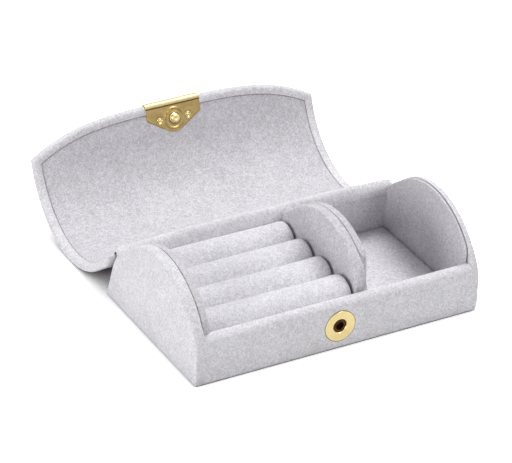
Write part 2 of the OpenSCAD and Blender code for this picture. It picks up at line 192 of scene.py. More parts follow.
# The table glows white to the eye; close under the box its colour and glow fade in a painted
# shadow.
table_finish = Finish("white_table")
table_white = (0.88, 0.88, 0.88, 1.0)
contact_shadow = (0.09, 0.06, 0.075, 1.0)
glow_white, glow_none = (1.0, 1.0, 1.0, 1.0), (0.0, 0.0, 0.0, 1.0)
glow_strength = 0.95
shadow_reach = 22 * mm
seen = table_finish.node("ShaderNodeLightPath")
openness = table_finish.node(
    "ShaderNodeAmbientOcclusion", {"samples": 8}, {"Distance": shadow_reach}, out=1
)
table_colour = table_finish.mix_colours(
    (openness * 2.6 - 0.1).clamped(), contact_shadow, table_white
)
glow_colour = table_finish.mix_colours((openness * 1.5 - 0.25).clamped(), glow_none, glow_white)
table_finish.shade({"Roughness": 0.9, "Specular IOR Level": 0.0, "Base Color": table_colour})
glow = table_finish.node(
    "ShaderNodeEmission", None, {"Color": glow_colour, "Strength": seen * glow_strength}
)
table_light = table_finish.node(
    "ShaderNodeAddShader", None,
    {0: Wire(table_finish, table_finish.shader.outputs[0]), 1: glow},
)
table_finish.feed(table_finish.output.inputs["Surface"], table_light)

table_mesh = bpy.data.meshes.new("table")
reach = 6.0
table_mesh.from_pydata(
    [(-reach, -reach, 0.0), (reach, -reach, 0.0), (reach, reach, 0.0), (-reach, reach, 0.0)],
    [], [(0, 1, 2, 3)],
)
table_mesh.materials.append(table_finish.material)
table = bpy.data.objects.new("table", table_mesh)
scene.collection.objects.link(table)

room = bpy.data.worlds.new("pale_room")
room.use_nodes = True
scene.world = room
room_tree = room.node_tree
room_light = room_tree.nodes["Background"]
room_light.inputs["Color"].default_value = (0.97, 0.98, 1.0, 1.0)
room_light.inputs["Strength"].default_value = 0.24
room_seen = room_tree.nodes.new("ShaderNodeBackground")
room_seen.inputs["Color"].default_value = (1.0, 1.0, 1.0, 1.0)
room_path = room_tree.nodes.new("ShaderNodeLightPath")
room_mix = room_tree.nodes.new("ShaderNodeMixShader")
room_rays = room_tree.nodes.new("ShaderNodeMath")
room_rays.operation = "MAXIMUM"
room_tree.links.new(room_path.outputs["Is Camera Ray"], room_rays.inputs[0])
room_tree.links.new(room_path.outputs["Is Glossy Ray"], room_rays.inputs[1])
room_tree.links.new(room_rays.outputs[0], room_mix.inputs[0])
room_tree.links.new(room_light.outputs[0], room_mix.inputs[1])
room_tree.links.new(room_seen.outputs[0], room_mix.inputs[2])
room_tree.links.new(room_mix.outputs[0], room_tree.nodes["World Output"].inputs["Surface"])


# ---- The two ends ----
# Each end is a greyboard arch under a padded suede cover. The cover is drawn over the rim and
# glued inside, where the lining panel hides its edges.

left_low, left_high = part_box("left_end_cover")
right_low, right_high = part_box("right_end_cover")
front_y, back_y = left_low.y, left_high.y
wall_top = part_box("front_wall_cover")[1].z
arch_radius = 44 * mm
arch_y = front_y + 42 * mm
arch_z = left_high.z - arch_radius
hinge_joint = {joint["name"]: joint for joint in frame["joints"]}["lid_hinge"]
hinge_y, hinge_z = hinge_joint["pos_m"][1:]

to_hinge = math.hypot(hinge_y - arch_y, hinge_z - arch_z)
slope_angle = math.atan2(hinge_z - arch_z, hinge_y - arch_y) + math.acos(arch_radius / to_hinge)
slope_length = math.sqrt(to_hinge**2 - arch_radius**2)


def ramp(value, start, end):
    """Smooth step from 0 at start to 1 at end."""
    t = np.clip((value - start) / (end - start), 0, 1)
    return t * t * (3 - 2 * t)


def resampled(points, count):
    """Points at equal steps along a closed outline."""
    loop = np.vstack([points, points[:1]])
    length = np.concatenate([[0], np.cumsum(np.linalg.norm(np.diff(loop, axis=0), axis=1))])
    steps = np.linspace(0, length[-1], count, endpoint=False)
    return np.stack([np.interp(steps, length, loop[:, axis]) for axis in (0, 1)], axis=1)


def softened(points, softness):
    """Closed outline whose corners are rounded: its Fourier terms fade as a Gaussian does."""
    length = np.linalg.norm(points - np.roll(points, 1, axis=0), axis=1).sum()
    term = np.fft.fftfreq(len(points), 1 / len(points))
    fade = np.exp(-0.5 * (2 * np.pi * term * softness / length) ** 2)
    return np.fft.ifft(np.fft.fft(points, axis=0) * fade[:, None], axis=0).real


def inward(points):
    """Unit normals into a closed outline that runs up its front and over its top."""
    along = np.roll(points, -1, axis=0) - np.roll(points, 1, axis=0)
    along /= np.linalg.norm(along, axis=1)[:, None]
    return np.stack([along[:, 1], -along[:, 0]], axis=1)


def fillet(before, corner, after, reach):
    """Rounds a corner: a quadratic curve from reach before the corner to reach after it."""
    t = np.linspace(0, 1, 16)[:, None]
    start = corner + (before - corner) * reach / np.linalg.norm(before - corner)
    end = corner + (after - corner) * reach / np.linalg.norm(after - corner)
    return (1 - t) ** 2 * start + 2 * t * (1 - t) * corner + t**2 * end


hinge_round = 10 * mm
heel_round = 2.0 * mm
outline_softness = 0.4 * mm


def arch_outline(inset, foot_z, foot_round=0.5 * mm, count=360):
    """Outline of an end in Y and Z, moved in by inset: front face, arch, slope to the rounded
    hinge corner, leaning back and flat foot."""
    radius = arch_radius - inset
    first = math.pi - math.acos(min(1.0, (arch_y - front_y - inset) / radius))
    turn = np.linspace(first, slope_angle, 200)
    arc = np.stack([arch_y + radius * np.cos(turn), arch_z + radius * np.sin(turn)], axis=1)
    lean = np.array([back_y - hinge_y, -hinge_z]) / math.hypot(back_y - hinge_y, hinge_z)
    in_from_back = np.array([lean[1], -lean[0]])
    corner = np.array([hinge_y, hinge_z]) + inset * in_from_back
    down_slope = np.array([math.sin(slope_angle), -math.cos(slope_angle)])
    across_slope = np.array([math.cos(slope_angle), math.sin(slope_angle)])
    corner = corner + lean * (((arc[-1] - corner) @ across_slope) / (lean @ across_slope))
    heel = corner + lean * ((corner[1] - foot_z) / -lean[1])
    foot = np.array([front_y + inset, foot_z])
    outline = np.vstack([
        fillet(heel, foot, foot + np.array([0, 1.0]), foot_round), arc,
        fillet(corner - down_slope, corner, heel, hinge_round),
        fillet(corner, heel, foot, heel_round),
    ])
    dense = resampled(outline, 6 * count)
    return resampled(softened(dense, outline_softness), count)


pole_size = 0.004 * mm


def surface(name, points, crease=180):
    """Mesh on a grid of points, one quad between each four neighbours, closed round its first
    parameter; points that coincide at a pole are merged and faces turned outwards. Edges
    sharper than crease degrees stay hard."""
    rows, columns = points.shape[:2]
    index = np.arange(rows * columns).reshape(rows, columns)
    index = np.vstack([index, index[:1]])
    corners = [index[:-1, :-1], index[1:, :-1], index[1:, 1:], index[:-1, 1:]]
    quads = np.stack(corners, axis=-1).reshape(-1, 4)
    mesh = bpy.data.meshes.new(name)
    mesh.from_pydata(points.reshape(-1, 3).tolist(), [], quads.tolist())
    sewn = bmesh.new()
    sewn.from_mesh(mesh)
    bmesh.ops.remove_doubles(sewn, verts=sewn.verts, dist=pole_size)
    bmesh.ops.recalc_face_normals(sewn, faces=sewn.faces)
    sewn.to_mesh(mesh)
    sewn.free()
    mesh.polygons.foreach_set("use_smooth", [True] * len(mesh.polygons))
    if crease < 180:
        mesh.set_sharp_from_angle(angle=math.radians(crease))
    piece = bpy.data.objects.new(name, mesh)
    scene.collection.objects.link(piece)
    return piece


ring_softness = 0.35 * mm
calm_softness = 8 * mm


def cushion(name, outline, x0, x1, edge0, edge1, swell0, swell1, crease=180):
    """Closed pad between the planes x0 and x1. From the middle of one face its rings grow to
    the outline, turn round the rim on a quarter circle of radius edge, cross the rim and
    return. Near the middle the rings lose the outline's corners. Each face swells as
    (1 - k to the fourth) to the power 1.5, where k runs from 0 in the middle to 1 at its edge."""
    normal = inward(outline)
    centre = outline.mean(axis=0)
    count = len(outline)
    edge0 = np.broadcast_to(edge0, count)
    edge1 = np.broadcast_to(edge1, count)
    grow = np.linspace(0, 1, 24)
    turn = np.linspace(0, np.pi / 2, 9)
    across = np.linspace(0, 1, 8)

    def face(edge, x, swell):
        ring = softened(outline + normal * edge[:, None], ring_softness)
        calm = softened(ring, calm_softness)
        keep = grow**5
        shape = calm[:, None] + (ring - calm)[:, None] * keep[None, :, None]
        flat = centre + (shape - centre) * grow[None, :, None]
        depth = np.broadcast_to(x + swell * (1 - grow**4) ** 1.5, (count, len(grow)))
        return ring, flat, depth

    def corner(edge, ring, x, inside):
        flat = outline[:, None] + (ring - outline)[:, None] * (1 - np.sin(turn))[None, :, None]
        return flat, x + inside * edge[:, None] * (1 - np.cos(turn))

    ring0, flat_a, x_a = face(edge0, x0, -swell0)
    flat_b, x_b = corner(edge0, ring0, x0, 1)
    rim_x = (x0 + edge0)[:, None] + (x1 - edge1 - x0 - edge0)[:, None] * across
    rim = np.broadcast_to(outline[:, None], (count, len(across), 2))
    ring1, flat_d, x_d = face(edge1, x1, swell1)
    flat_c, x_c = corner(edge1, ring1, x1, -1)
    flat = np.concatenate([flat_a, flat_b, rim, flat_c[:, ::-1], flat_d[:, ::-1]], axis=1)
    x = np.concatenate([x_a, x_b, rim_x, x_c[:, ::-1], x_d[:, ::-1]], axis=1)
    return surface(name, np.dstack([x, flat]), crease=crease)


nap_depth = 0.32 * mm


def suede(name, pale, deep):
    """Brushed microfibre: a fine grain, patches where the nap lies the other way and wide soft
    clouds, all seen as small changes of colour and height."""
    finish = Finish(name)
    place = finish.node("ShaderNodeTexCoord", out=3)
    grain = finish.noise(1250.0, 2.0, place, roughness=0.65)
    nap = finish.noise(520.0, 3.0, place, roughness=0.6, distortion=1.2)
    cloud = finish.noise(60.0, 3.0, place, distortion=0.5)
    shade = (grain - 0.5) * 2.6 + (nap - 0.5) * 2.0 + (cloud - 0.5) * 0.6 + 0.5
    colour = finish.mix_colours(shade.clamped(), (*deep, 1.0), (*pale, 1.0))
    bump = finish.node("ShaderNodeBump", None, {
        "Strength": 0.75, "Distance": nap_depth, "Height": grain * 0.7 + nap,
    })
    finish.shade({
        "Base Color": colour, "Normal": bump, "Roughness": 0.95, "Specular IOR Level": 0.1,
        "Sheen Weight": 0.12, "Sheen Roughness": 0.5,
    })
    return finish.material


outer_suede = suede("outer_suede", (0.85, 0.837, 0.865), (0.588, 0.573, 0.603))
lining_suede = suede("lining_suede", (0.735, 0.718, 0.752), (0.485, 0.467, 0.502))

# The outer edge is rounder towards the top of the arch. The inner edge is sharp where the
# walls butt on it. At the foot the left end's edge is tighter and the right end's is fuller.
foot_gap = 0.4 * mm
end_swell = 1.15 * mm
rim_outline = arch_outline(0.0, foot_gap, foot_round=0.9 * mm)
rim_z = rim_outline[:, 1]
outer_edge = (1.4 + 0.8 * ramp(rim_z, wall_top, 38 * mm)) * mm
foot_edge = (1 - ramp(rim_z, 1 * mm, 6 * mm)) * mm
seam_edge = (0.9 - 0.4 * ramp(rim_z, 30 * mm, 42 * mm)) * mm
seam_edge = seam_edge * ramp(rim_z, wall_top - 0.6 * mm, wall_top + 2 * mm)
ends = {
    "left": {
        "x0": left_low.x, "x1": left_high.x, "swell0": end_swell, "swell1": 0.0,
        "edge0": outer_edge - 0.7 * foot_edge, "edge1": seam_edge,
    },
    "right": {
        "x0": right_low.x, "x1": right_high.x, "swell0": 0.0, "swell1": end_swell,
        "edge0": seam_edge, "edge1": outer_edge + 1.2 * foot_edge,
    },
}
for side, shape in ends.items():
    cover = cushion(side + "_end", rim_outline, crease=55, **shape)
    cover.data.materials.append(outer_suede)
    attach(cover, "base")
    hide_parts(side + "_end_cover")


# ---- The lining panels of the ends ----
# A padded suede panel is glued inside each end. It stands a hair off the rim, so that a fine
# dark seam runs round it; the thin right one is cut short in front.

room_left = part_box("left_end_lining")[1].x
room_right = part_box("right_end_lining")[0].x
panel_foot_z = 4 * mm
lining_fronts = {"left": -44.3 * mm, "right": -42.2 * mm}
linings = {
    "left": {
        "x0": left_high.x + 0.4 * mm, "x1": room_left,
        "edge0": 0.45 * mm, "edge1": 1.7 * mm, "swell0": 0.0, "swell1": 0.3 * mm,
    },
    "right": {
        "x0": room_right, "x1": right_low.x - 0.55 * mm,
        "edge0": 0.9 * mm, "edge1": 0.35 * mm, "swell0": 0.2 * mm, "swell1": 0.0,
    },
}
for side, shape in linings.items():
    outline = arch_outline(0.4 * mm, panel_foot_z, count=720)
    outline[:, 0] = np.maximum(outline[:, 0], lining_fronts[side])
    outline = softened(resampled(outline, 720), 1.8 * mm)[::2]
    panel = cushion(side + "_end_lining_panel", outline, **shape)
    panel.data.materials.append(lining_suede)
    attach(panel, "base")
    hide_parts(side + "_end_lining")


# ---- The front wall ----
# One strip of suede is drawn over a greyboard wall, with foam behind the board, and turned
# under the floor. Its face lies flush with the rims of the ends; its top is round and full.

front_thickness = 8 * mm
room_front = front_y + front_thickness
floor_z = 3.2 * mm


def bend(start, leaving, end, arriving, count=28):
    """Cubic curve from start to end that leaves and arrives along the two given vectors."""
    t = np.linspace(0, 1, count)[:, None]
    return (
        (2 * t**3 - 3 * t**2 + 1) * start + (t**3 - 2 * t**2 + t) * leaving
        + (3 * t**2 - 2 * t**3) * end + (t**3 - t**2) * arriving
    )


def along_x(name, section, x0, x1, count, taper=0.0, rounding=0.0, crease=180):
    """Closed section in Y and Z carried along X. Over the last stretch of length rounding it
    shrinks by the part taper on a quarter ellipse, and a flat cap closes each end."""
    if rounding > 0:
        turn = np.linspace(0, np.pi / 2, 12)
        near = rounding * (1 - np.sin(turn))[::-1]
        inner = np.linspace(x0 + rounding, x1 - rounding, count)
        x = np.concatenate([[x0], x0 + near, inner[1:-1], x1 - near[::-1], [x1]])
        nearness = np.clip(1 - np.minimum(x - x0, x1 - x) / rounding, 0, 1)
        shrink = 1 - taper * (1 - np.cos(np.arcsin(nearness)))
    else:
        x = np.concatenate([[x0], np.linspace(x0, x1, count), [x1]])
        shrink = np.ones(len(x))
    shrink[[0, -1]] = 0
    middle = section.mean(axis=0)
    flat = middle + (section[:, None] - middle) * shrink[None, :, None]
    grid_x = np.broadcast_to(x, (len(section), len(x)))
    return surface(name, np.dstack([grid_x, flat]), crease=crease)


# The wall's face follows the rims of the ends up to the shoulder, where the suede turns over.
shoulder_z = 23.4 * mm
shoulder_drop = 4.4 * mm
rising = (rim_outline[:, 0] < room_front - 4 * mm) & (rim_z < shoulder_z)
face = rim_outline[rising]
face = face[np.argsort(face[:, 1])]
heading = face[-1] - face[-2]
heading /= np.linalg.norm(heading)
inner_top = np.array([room_front, wall_top - shoulder_drop])
shoulder = bend(face[-1], heading * 12 * mm, inner_top, np.array([0.0, -1.0]) * 16 * mm)
inner = np.stack([np.full(12, room_front), np.linspace(inner_top[1], floor_z, 12)], axis=1)
under = np.array([[room_front, foot_gap]])
front_section = np.vstack([face, shoulder[1:], inner[1:], under])
front_wall = along_x("front_wall", front_section, left_high.x, right_low.x, 80, crease=55)

# The suede is punched for the barrel of the press-stud socket.
stud_z = 13 * mm
bore_radius = 4.05 * mm
bore_front, bore_back = front_y - 2 * mm, front_y + 6 * mm
bore_turn = np.linspace(0, 2 * np.pi, 64, endpoint=False)[:, None]
bore_size = np.array([0, bore_radius, bore_radius, 0])
bore_y = np.array([bore_front, bore_front, bore_back, bore_back])
bore = surface("socket_bore", np.dstack([
    bore_size * np.cos(bore_turn), np.broadcast_to(bore_y, (len(bore_turn), len(bore_size))),
    stud_z + bore_size * np.sin(bore_turn),
]))
cut = front_wall.modifiers.new("bore", "BOOLEAN")
cut.object = bore
cut.solver = "EXACT"
punched = front_wall.evaluated_get(bpy.context.evaluated_depsgraph_get())
bored = bpy.data.meshes.new_from_object(punched)
front_wall.modifiers.clear()
front_wall.data = bored
bpy.data.objects.remove(bore)
front_wall.data.materials.clear()
front_wall.data.materials.append(outer_suede)
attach(front_wall, "base")
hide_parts("front_wall_cover", "front_wall_foam")


# ---- The back wall ----
# A leaning greyboard wall with a foam wedge inside it. The lining is drawn over its top and
# meets the cloth hinge there.

room_back = back_y - 12.7 * mm
lean = np.array([back_y - hinge_y, -hinge_z]) / math.hypot(back_y - hinge_y, hinge_z)
heel = np.array([back_y, 0.3 * mm])
hinge_point = np.array([hinge_y, hinge_z])
outer_back = hinge_point + lean * 2.2 * mm
inner_back = np.array([
    (0.1, 0.3), (0.1, 4.0), (0.1, 8.0), (-0.2, 13.4), (-0.75, 18.3), (-1.2, 23.1), (-1.5, 26.4),
]) * mm + (room_back, 0.0)
over_back = bend(inner_back[-1], np.array([-0.1, 1.0]) * 7 * mm, outer_back, lean * 5 * mm, 20)
down_back = outer_back + (heel - outer_back) * np.linspace(0.1, 1, 14)[:, None]
back_section = np.vstack([inner_back[:-1], over_back, down_back])
back_wall = along_x("back_wall", back_section, left_high.x, right_low.x, 60, crease=55)
back_wall.data.materials.append(outer_suede)
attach(back_wall, "base")
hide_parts("back_wall_cover", "back_wall_lining", "back_wall_foam", "back_wall_board")


# ---- The floor ----
# A suede panel under the base board, a padded panel on the floor of the open compartment,
# and a plain covered board that carries the ring rolls.


def floor_pad(name, low, high, edge, crown):
    """Flat pad in a box: a rounded rectangle whose rings shrink to its middle on both faces,
    with quarter-circle rims of radius edge and a top that swells by crown in the middle."""
    turn = np.linspace(0, 2 * np.pi, 160, endpoint=False)
    middle = (np.array(low) + np.array(high)) / 2
    half = (np.array(high) - np.array(low)) / 2
    power = 24
    round_sum = np.abs(np.cos(turn)) ** power + np.abs(np.sin(turn)) ** power
    squareness = 1 / round_sum ** (1 / power)
    ring = np.stack([np.cos(turn), np.sin(turn)], axis=1) * squareness[:, None]
    grow = np.linspace(0, 1, 14)
    rim = np.linspace(0, np.pi / 2, 7)
    flat, upright = np.ones(len(grow)), np.ones(len(rim))
    size = np.concatenate([grow, upright, upright, grow[::-1]])
    drawn_in = edge * np.concatenate([flat, 1 - np.sin(rim), 1 - np.cos(rim), flat])
    z = np.concatenate([
        high[2] + crown * (1 - grow**2) ** 2, high[2] - edge * (1 - np.cos(rim)),
        low[2] + edge * (1 - np.sin(rim)), low[2] * flat,
    ])
    x = middle[0] + ring[:, :1] * size * (half[0] - drawn_in)
    y = middle[1] + ring[:, 1:] * size * (half[1] - drawn_in)
    return surface(name, np.dstack([x, y, np.broadcast_to(z, x.shape)]))


# The compartment floor's suede is a darker copy of the outer suede: painted shade on the deep
# floor.
floor_suede_painted_shade = suede("floor_suede_painted_shade", (0.82, 0.803, 0.838), (0.55, 0.535, 0.57))
turned_under = Vector((0.0, 1.6, 0.0)) * mm
for name, node, edge, crown, finish in (
    ("underside_panel", "underside_cover", 0.3, 0.0, outer_suede),
    ("compartment_floor", "floor_lining", 1.2, 0.25, floor_suede_painted_shade),
    ("roll_tray", "ring_tray", 0.8, 0.0, lining_suede),
):
    low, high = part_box(node)
    short = turned_under if node == "underside_cover" else Vector()
    pad = floor_pad(name, low + short, high - short, edge * mm, crown * mm)
    pad.data.materials.append(finish)
    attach(pad, "base")
    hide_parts(node)


# ---- The divider ----
# Two padded panels stand back to back between the ring rolls and the open compartment. Each
# is a suede-covered board, so the rims are round and a dark seam runs between them. The right
# one is cut back in front, above the wall.

divider_front = -40.9 * mm
cut_from_z, cut_to_z = 15 * mm, 26 * mm
divider_gap = 0.05 * mm
dividers = {
    "left": {"edge0": 1.1 * mm, "edge1": 0.6 * mm, "swell0": 0.1 * mm, "swell1": 0.0},
    "right": {"edge0": 0.6 * mm, "edge1": 1.3 * mm, "swell0": 0.0, "swell1": 0.35 * mm},
}
for side, cut_back, softness in (("left", 0.0, 1.6 * mm), ("right", 5.5 * mm, 2.6 * mm)):
    low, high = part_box("divider_" + side + "_cover")
    outline = arch_outline(0.5 * mm, panel_foot_z, count=720)
    front_edge = divider_front + cut_back * ramp(outline[:, 1], cut_from_z, cut_to_z)
    outline[:, 0] = np.maximum(outline[:, 0], front_edge)
    outline = softened(resampled(outline, 720), softness)[::2]
    panel = cushion(
        "divider_" + side, outline, low.x + divider_gap, high.x - divider_gap, **dividers[side]
    )
    panel.data.materials.append(lining_suede)
    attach(panel, "base")
    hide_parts("divider_" + side + "_cover", "divider_" + side + "_board")


# ---- The ring rolls ----
# Four foam rolls in suede sleeves lie side by side and press against each other. Their right
# ends are gathered, so they round off before the divider; the left ends butt on the lining.


def filled_out(piece, cell, press, reach, larger=10, frames=20):
    """Lets the filling plump a closed sleeve: the sleeve is drawn ten times as large and
    remeshed to even cells, cloth pressure blows it up for twenty frames with no gravity, no
    point moves more than reach, and one subdivision smooths what comes out."""
    bag = piece.copy()
    bag.data = piece.data.copy()
    bag.data.transform(Matrix.Scale(larger, 4))
    scene.collection.objects.link(bag)
    even = bag.modifiers.new("even_cells", "REMESH")
    even.mode = "VOXEL"
    even.voxel_size = larger * cell
    worked_out = bpy.context.evaluated_depsgraph_get()
    cells = bpy.data.meshes.new_from_object(bag.evaluated_get(worked_out))
    bag.modifiers.clear()
    bag.data = cells
    before = np.empty(3 * len(cells.vertices))
    cells.vertices.foreach_get("co", before)
    cloth = bag.modifiers.new("sleeve", "CLOTH")
    cloth.settings.quality = 5
    cloth.settings.mass = 0.3
    cloth.settings.tension_stiffness = 15
    cloth.settings.compression_stiffness = 15
    cloth.settings.bending_stiffness = 0.5
    cloth.settings.use_pressure = True
    cloth.settings.uniform_pressure_force = press
    cloth.settings.effector_weights.gravity = 0
    cloth.point_cache.frame_start = 1
    cloth.point_cache.frame_end = frames
    for step in range(1, frames + 1):
        scene.frame_set(step)
    worked_out = bpy.context.evaluated_depsgraph_get()
    blown = bag.evaluated_get(worked_out).data
    after = np.empty(3 * len(blown.vertices))
    blown.vertices.foreach_get("co", after)
    scene.frame_set(1)
    moved = (after - before).reshape(-1, 3)
    length = np.linalg.norm(moved, axis=1)[:, None]
    moved *= np.minimum(1, larger * reach / np.maximum(length, 1e-9))
    final = cells.copy()
    final.vertices.foreach_set("co", ((before.reshape(-1, 3) + moved) / larger).ravel())
    final.polygons.foreach_set("use_smooth", [True] * len(final.polygons))
    final.materials.clear()
    final.materials.append(piece.data.materials[0])
    piece.data = final
    bpy.data.objects.remove(bag)
    finer = piece.modifiers.new("finer", "SUBSURF")
    finer.levels = finer.render_levels = 1


# A roll's right end is a power curve of end_power over end_round, its left end is drawn in a
# little over end_press. A slow wave of its own lifts each roll's top. The back roll is
# pressed flat where it meets the leaning back wall.
# The rolls' suede is a lighter copy of the same suede: painted light that brightens the rolls.
roll_suede_painted_light = suede("roll_suede_painted_light", (0.87, 0.858, 0.893), (0.60, 0.588, 0.627))
roll_radius = 9.5 * mm
roll_gap = 0.1 * mm
wall_gap = 0.15 * mm
end_round, end_power = 3.2 * mm, 2.7
end_press, end_drawn_in = 0.8 * mm, 0.07
wave_height = 0.25 * mm
sleeve_cell, sleeve_give = 1.2 * mm, 0.35 * mm
filling_pressure = 4.0

left_x = room_left + roll_gap
right_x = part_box("divider_left_cover")[0].x - roll_gap
fall = np.linspace(0, np.pi / 2, 16)
roll_x = np.concatenate([
    [left_x], left_x + end_press * (1 - np.cos(fall[::3])),
    np.linspace(left_x + 1 * mm, right_x - end_round, 44),
    right_x - end_round + end_round * np.sin(fall[1:]),
])
left_share = np.clip(1 - (roll_x - left_x) / end_press, 0, 1)
right_share = np.clip((roll_x - right_x + end_round) / end_round, 0, 1)
roll_size = (1 - right_share**end_power) ** (1 / end_power) - end_drawn_in * left_share**2
roll_size[0] = 0
roll_phase = np.pi * (roll_x - left_x) / (right_x - left_x)
roll_turn = np.linspace(0, 2 * np.pi, 96, endpoint=False)
for number in (1, 2, 3, 4):
    low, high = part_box("ring_roll_%d" % number)
    middle = np.array([(low.y + high.y) / 2, (low.z + high.z) / 2])
    half_tall = (high.z - low.z) / 2
    tall = np.stack([roll_radius * np.cos(roll_turn), roll_radius * np.sin(roll_turn)], axis=1)
    tall[:, 1] += (half_tall - roll_radius) * np.tanh(5 * np.sin(roll_turn))
    slow, quick = wave_height * np.sin(number * 1.7 + np.array([0.0, 1.1]))
    lift = slow * np.sin(roll_phase) + 0.5 * quick * np.sin(2 * roll_phase)
    flat = tall[:, None] * roll_size[None, :, None] + middle
    flat[:, :, 1] += np.where(tall[:, 1:] > 0, 1, 0) * lift * (tall[:, 1:] / half_tall)
    if number == 1:
        wall_y = np.interp(flat[:, :, 1], inner_back[:, 1], inner_back[:, 0])
        flat[:, :, 0] = np.minimum(flat[:, :, 0], wall_y - wall_gap)
    grid_x = np.broadcast_to(roll_x, flat.shape[:2])
    roll = surface("ring_roll_%d_sleeve" % number, np.dstack([grid_x, flat]))
    roll.data.materials.append(roll_suede_painted_light)
    filled_out(roll, sleeve_cell, filling_pressure, sleeve_give)
    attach(roll, "base")
    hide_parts("ring_roll_%d" % number, "ring_roll_core_%d" % number)


# ---- The lid ----
# One curved greyboard under a suede cover that is turned in round its edges. The lining
# panel is let into the turned border. The front of the lid bends as the stud is pressed;
# these skins are drawn in one piece and do not follow that bend.

lid_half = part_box("lid_cover")[1].x
lid_radius = arch_radius + 1 * mm
lid_thickness = 3.5 * mm
lid_swing = math.radians(hinge_joint["range_deg"][1])
flex_joint = {joint["name"]: joint for joint in frame["joints"]}["flap_bend"]
flex_angle = math.pi - math.radians(flex_joint["range_deg"][1])
arch_length = lid_radius * (flex_angle - slope_angle)
flex_s = slope_length + arch_length
flex_height = arch_z + lid_radius * math.sin(flex_angle)
edge_low, corner_rise, edge_power = 3.6 * mm, 14.4 * mm, 3.5
rim_radius = lid_thickness / 2
lid_start = 0.8 * mm
border = 5 * mm


def edge_s(x):
    """Distance from the hinge to the free edge: far over the middle, short at the corners."""
    share = np.clip(np.abs(x) / lid_half, 0, 1)
    return flex_s + flex_height - edge_low - corner_rise * share**edge_power


def lid_place(x, s, n):
    """Point of the open lid: s from the hinge along the slope, round the arch and straight on
    past the bend, and n out from the lining; the shut lid is turned back about the hinge."""
    angle = slope_angle + np.clip(s - slope_length, 0, arch_length) / lid_radius
    straight = np.maximum(s - flex_s, 0) + np.minimum(s - slope_length, 0)
    y = arch_y + (lid_radius + n) * np.cos(angle) - straight * np.sin(angle)
    z = arch_z + (lid_radius + n) * np.sin(angle) + straight * np.cos(angle)
    turned_y = hinge_y + (y - hinge_y) * math.cos(lid_swing) + (z - hinge_z) * math.sin(lid_swing)
    turned_z = hinge_z - (y - hinge_y) * math.sin(lid_swing) + (z - hinge_z) * math.cos(lid_swing)
    return np.stack(np.broadcast_arrays(x, turned_y, turned_z), axis=-1)


def edge_slope(x):
    """How fast the free edge falls back towards the corners."""
    share = np.clip(np.abs(x) / lid_half, 0, 1)
    return edge_power * corner_rise / lid_half * share ** (edge_power - 1)


def from_edges(x, e):
    """Distance to the nearest side or free edge."""
    return np.minimum(lid_half - np.abs(x), e / np.sqrt(1 + edge_slope(x) ** 2))


def rounded(d, radius):
    """How far a rim of that radius has turned away from the flat at distance d from its edge."""
    left = radius - np.clip(d, 0, radius)
    return radius - np.sqrt(np.maximum(radius**2 - left**2, 0))


def two_faces(name, upper, lower):
    """Closed shell of two grids that share their outer edge."""
    grid = np.concatenate([upper, lower[:, ::-1]], axis=1)
    return surface(name, np.swapaxes(grid, 0, 1))


# The grid's lines stand closest round the rim and where the border steps down to the lining.
step_near, step_far, last_step = 4.3 * mm, 5.7 * mm, 20 * mm
edge_steps = np.concatenate([
    rim_radius * (1 - np.cos(np.linspace(0, np.pi / 2, 12))),
    np.linspace(rim_radius, step_near, 9)[1:],
    np.linspace(step_near, step_far, 13)[1:],
    np.linspace(step_far, last_step, 10)[1:],
])
side_x = lid_half - edge_steps
lid_x = np.concatenate([-side_x, np.linspace(-side_x[-1], side_x[-1], 61)[1:-1], side_x[::-1]])
far_s = np.linspace(0, 1, 100)[1:]
x_grid, e_grid = np.meshgrid(lid_x, edge_steps, indexing="ij")
s_near = edge_s(x_grid) - e_grid
s_last = s_near[:, -1:]
s_grid = np.concatenate([s_near, s_last + (lid_start - s_last) * far_s], axis=1)
x_grid = np.broadcast_to(lid_x[:, None], s_grid.shape)
d_grid = from_edges(x_grid, edge_s(x_grid) - s_grid)

# The lid thins towards the hinge and dips there. Its border is puffed, but not under the
# clasp plate, and inside the border the face steps down to let the lining in.
plate_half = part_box("clasp_plate")[1].x
taper_length, hinge_share = 9.7 * mm, 0.17
border_puff, hinge_dip = 0.5 * mm, 0.8 * mm
step_depth, step_width = 1.3 * mm, 0.25 * mm
thin = 1 - np.clip((s_grid - lid_start) / taper_length, 0, 1)
thick = lid_thickness * (1 - (1 - hinge_share) * thin)
under_plate = 1 - ramp(np.abs(x_grid), plate_half - 0.6 * mm, plate_half + 1.6 * mm)
under_plate = under_plate * ramp(s_grid, flex_s, flex_s + 2 * mm)
puff = border_puff * np.sin(np.pi * np.clip(d_grid / border, 0, 1)) * (1 - under_plate)
start_n = -hinge_dip * thin**2
let_in = step_depth * np.clip((d_grid - border + step_width) / step_width, 0, 1)
rim_turn = rounded(d_grid, rim_radius) * thick / lid_thickness
inner_side = lid_place(x_grid, s_grid, start_n + rim_turn - puff + np.minimum(let_in, 0.5 * thick))
outer_side = lid_place(x_grid, s_grid, start_n + thick - rim_turn + 0.4 * puff)
lid_cover = two_faces("lid_cover_skin", inner_side, outer_side)
lid_cover.data.materials.append(outer_suede)
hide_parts("lid_cover", "flap_cover")

